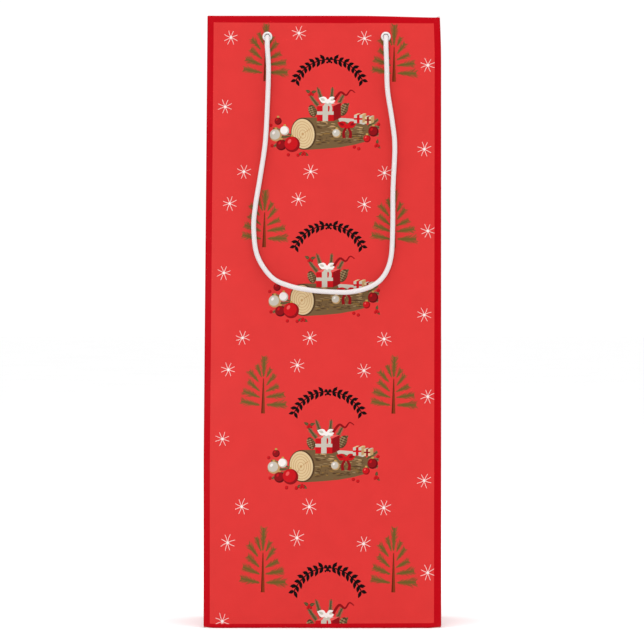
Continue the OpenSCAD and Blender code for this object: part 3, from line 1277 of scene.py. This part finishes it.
# Middles of the snowflakes in one repeat: to the right of the middle, and below the rim
SNOWFLAKES = [
    (-54, 12.5), (-14.5, 10), (23.5, 13), (60, 27.5), (-57, 52), (58, 75.5), (-46, 89),
    (-7.5, 89), (35, 89.5),
]
# In each repeat: the firs' places to the right, and how far down each picture's foot is
FIRS = (-34, 40.4)
FIR_DOWN = 37.4
GARLAND_DOWN = 46.4
STILL_LIFE_DOWN = 66.8


def face_print(seed):
    """All that is printed on one face, in layers: the first is the field inside the border,
    which isn't quite the same width all round."""
    rng = random.Random(seed)
    half, low = WIDTH / 2, ARC_V - BASE_R
    high = low + HEIGHT
    field = [(-half + 3.6, low + 2.3), (half - 4.2, low + 2.8), (half - 3.8, high - 3.5),
             (15, high - 4.4), (-half + 3.7, high - 3.9)]
    art = [(field, FIELD)]
    for repeat in range(4):
        top = repeat * REPEAT
        for across, down in SNOWFLAKES:
            if top + down < HEIGHT - 12:
                art += on_sheet(snowflake(rng), across, top + down)
        for across in FIRS:
            art += on_sheet(fir_tree(rng), across, top + FIR_DOWN)
        art += on_sheet(garland(), 3, top + GARLAND_DOWN)
        art += on_sheet(still_life(), 0, top + STILL_LIFE_DOWN)
    return [shape for shape in art if np.array(shape[0])[:, 1].max() > low - 1]


# ---------------------------------------------------------------- the parts of the bag


def add_faces():
    """The printed front and back; the back has a crease where the base folds up flat."""
    half = WALLS["back"][2]
    lines = (-CREASE_HALF, 0, CREASE_HALF)
    creases = [[(-half, APEX_V + d), (half, APEX_V + d)] for d in lines]
    add_wall("front", "printed_paper", "front_panel", "front_hem", art=face_print(3))
    add_wall("back", "printed_paper", "back_panel", "back_hem", art=face_print(8), creases=creases)


def add_gusset(side):
    """A side wall with its middle crease and the two creases up from the base's corners."""
    wall = SIDE[side]
    corner = WALLS[wall][2] - CORNER_R - 0.5
    creases = [[(d, APEX_V + 2), (d, HEM_V)] for d in (-1, -0.4, 0, 0.4, 1)]
    for d in (-1, 0, 1):
        for foot in (-corner, corner):
            creases.append([(foot, ARC_V + CORNER_R + d), (0, APEX_V + d)])
    nodes = (f"{wall}_gusset_front", f"{wall}_gusset_rear", f"{wall}_hem")
    obj = add_wall(wall, "red_paper", *nodes, creases=creases)
    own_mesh(obj)


def lining(name, wall, a_range, z_range, depth, thickness, holes, material):
    """A flat strip that lies against a wall inside, at so much below its printed side. It
    is cut a little thinner than its gap, so that no two faces share a place."""
    columns = np.linspace(*a_range, max(3, round(np.ptp(a_range) / CARD_GRID))).tolist()
    rows = np.linspace(*z_range, max(4, round(np.ptp(z_range) / GRID))).tolist()

    def place(a, z, below):
        ground = plan(wall, a, z) + (depth + below) * inward_of(wall, a, z)
        return np.concatenate([ground, z[:, None]], 1)

    both_sides = [material, material]
    return sheet(name, place, columns, rows, thickness, NO_INK, (), holes, (), None, both_sides)


def add_cards():
    """The two card strips inside the rim, with the eyelets' holes through them."""
    half = CARD_BOX.high[0] - 2
    for wall in OUTWARD:
        holes = [(a, EYELET_Z, PUNCH_R) for a in eyelet_spots(wall)]
        obj = lining(
            f"{wall}_card_strip", wall, (-half, half), (CARD_BOX.low[2], HEIGHT - 1.6),
            PAPER + 0.02, CARD - 0.04, holes, BOARD,
        )
        settle(obj, "bag", "card", f"{wall}_card")


def add_seam():
    """The flap that joins the sheet's two ends, glued inside the back."""
    edge = WIDTH / 2 - CORNER_R - 1
    obj = lining(
        "side_seam", "back", (edge - SEAM_BOX.size[0], edge), (SEAM_BOX.low[2], SEAM_BOX.high[2]),
        PAPER + 0.01, PAPER - 0.02, (), RAW,
    )
    settle(obj, "bag", "white_paper", "side_seam_flap")


# How much narrower a base flap is at each end of its free edge
FLAP_TAPER = 8


def add_base_flap(wall, length, level):
    """One base flap: flat under the bag, narrower towards its free edge."""
    direction, outward, half = WALLS[wall]
    sideways = (DEPTH if wall in OUTWARD else WIDTH) / 2 - BASE_R
    columns = np.linspace(-half + BASE_R, half - BASE_R, 15).tolist()
    rows = np.linspace(0, length, 9).tolist()

    def place(a, w, depth):
        # Seen from below, a runs the other way round, so the printed side faces down
        along = -a * (1 - FLAP_TAPER / half * w / length)
        out = sideways - w
        ripple = 0.03 * np.sin(w / 7 - a / 9) * (level > 0)
        ground = [along * direction[k] + out * outward[k] for k in (0, 1)]
        return np.stack([*ground, level + depth + ripple], 1)

    obj = sheet(f"{wall}_base_flap_paper", place, columns, rows, PAPER, BORDER)
    slot = "red_paper" if wall in OUTWARD else "white_paper"
    settle(obj, "bag", slot, f"{wall}_base_flap")


def add_base():
    """Four flaps on each other: the front one lowest, then the back one, then the sides."""
    reach = FLAP_BOX.high[1] + DEPTH / 2 - BASE_R
    add_base_flap("front", reach, 0)
    add_base_flap("back", reach, PAPER)
    reach = SIDE_FLAP_BOX.high[0] + WIDTH / 2 - BASE_R
    for side in SIDE:
        add_base_flap(SIDE[side], reach, 2 * PAPER)


def rounded_outline(half, corner):
    """A rectangle in plan with round corners, to the left all the way."""
    outline = []
    for k, (sx, sy) in enumerate(((1, 1), (-1, 1), (-1, -1), (1, -1))):
        for turn in np.radians(np.linspace(90 * k, 90 * k + 90, 7)):
            outline.append((sx * (half[0] - corner) + corner * math.cos(turn),
                            sy * (half[1] - corner) + corner * math.sin(turn)))
    return np.array(outline)


# Radius of the board's corners and size of its eased edges
BOARD_CORNER = 2.0
BOARD_EASE = 0.25


def add_board():
    """The loose base board: cut card with round corners and eased edges."""
    half = BOARD_BOX.size / 2
    outline = rounded_outline(half, BOARD_CORNER)
    count, top = len(outline), half[2]
    levels = [(-top, BOARD_EASE), (BOARD_EASE - top, 0), (top - BOARD_EASE, 0), (top, BOARD_EASE)]
    rings = [np.c_[outline * (1 - inset / half[:2]), np.full(count, z)] for z, inset in levels]
    faces = [list(range(count))[::-1], list(range(3 * count, 4 * count))]
    for low in range(0, 3 * count, count):
        for i in range(count):
            j = (i + 1) % count
            faces.append([low + i, low + j, low + count + j, low + count + i])
    obj = new_object("base_board_card", np.concatenate(rings) + BOARD_BOX.middle, faces, [BOARD])
    settle(obj, "board", "card", "base_board")


# The eyelet: gaps to rope and CAD edge, height of its dome, and size of the lip inside
BORE_GAP = 0.1
RIM_GAP = 0.12
DOME = 0.62
LIP_R = 0.5
LIP_UP = 0.45
BARREL = 0.42


def eyelet_profile():
    """An eyelet's section, as radius and distance inward: a domed flange outside, a barrel,
    and a lip rolled over inside."""
    bore, rim, grip = CORD_R + BORE_GAP, EYELET_R - RIM_GAP, GRIP + 0.05
    crown, reach = (bore + rim) / 2, rim - (bore + rim) / 2
    dome = np.radians(np.linspace(0, 180, 13))
    lip = np.radians(np.linspace(180, 0, 9))
    return [
        *[(crown + reach * math.cos(t), -DOME * math.sin(t) - 0.02) for t in dome],
        (bore, 0.4), (bore, grip - 0.2),
        *[(bore + LIP_R + LIP_R * math.cos(t), grip + LIP_UP * math.sin(t)) for t in lip],
        (bore + BARREL, grip - 0.1), (bore + BARREL, 0.05),
    ]


def add_eyelet(face, side):
    """A pressed eyelet: its section turned about its own axis."""
    profile = eyelet_profile()
    sides, count = 48, len(profile)
    wall = abs(plan(face, -OUTWARD[face] * np.array([EYELET_X[side]]), np.array([EYELET_Z]))[0][1])
    points, faces = [], []
    for turn in np.arange(sides) * 2 * math.pi / sides:
        for radius, inward in profile:
            x, z = EYELET_X[side] + radius * math.cos(turn), EYELET_Z + radius * math.sin(turn)
            points.append((x, OUTWARD[face] * (wall - inward), z))
    for k in range(sides):
        a, b = k * count, (k + 1) % sides * count
        for i in range(count):
            j = (i + 1) % count
            quad = (a + i, a + j, b + j, b + i)
            faces.append(quad if face == "front" else quad[::-1])
    obj = new_object(f"{face}_{SIDE[side]}_eyelet_ring", points, faces, [ENAMEL])
    obj.data.shade_smooth()
    settle(obj, "bag", "eyelet", f"{face}_{SIDE[side]}_eyelet")


PRINTED = printed_paper()
RAW = raw_paper()
BOARD = grey_board()
ROPE = rope_fibre()
ENAMEL = eyelet_white()

add_camera()
for face in OUTWARD:
    add_handle(face)
add_lights()
add_floor()
add_faces()
for side in SIDE:
    add_gusset(side)
add_cards()
add_seam()
add_base()
add_board()
for face in OUTWARD:
    for side in SIDE:
        add_eyelet(face, side)
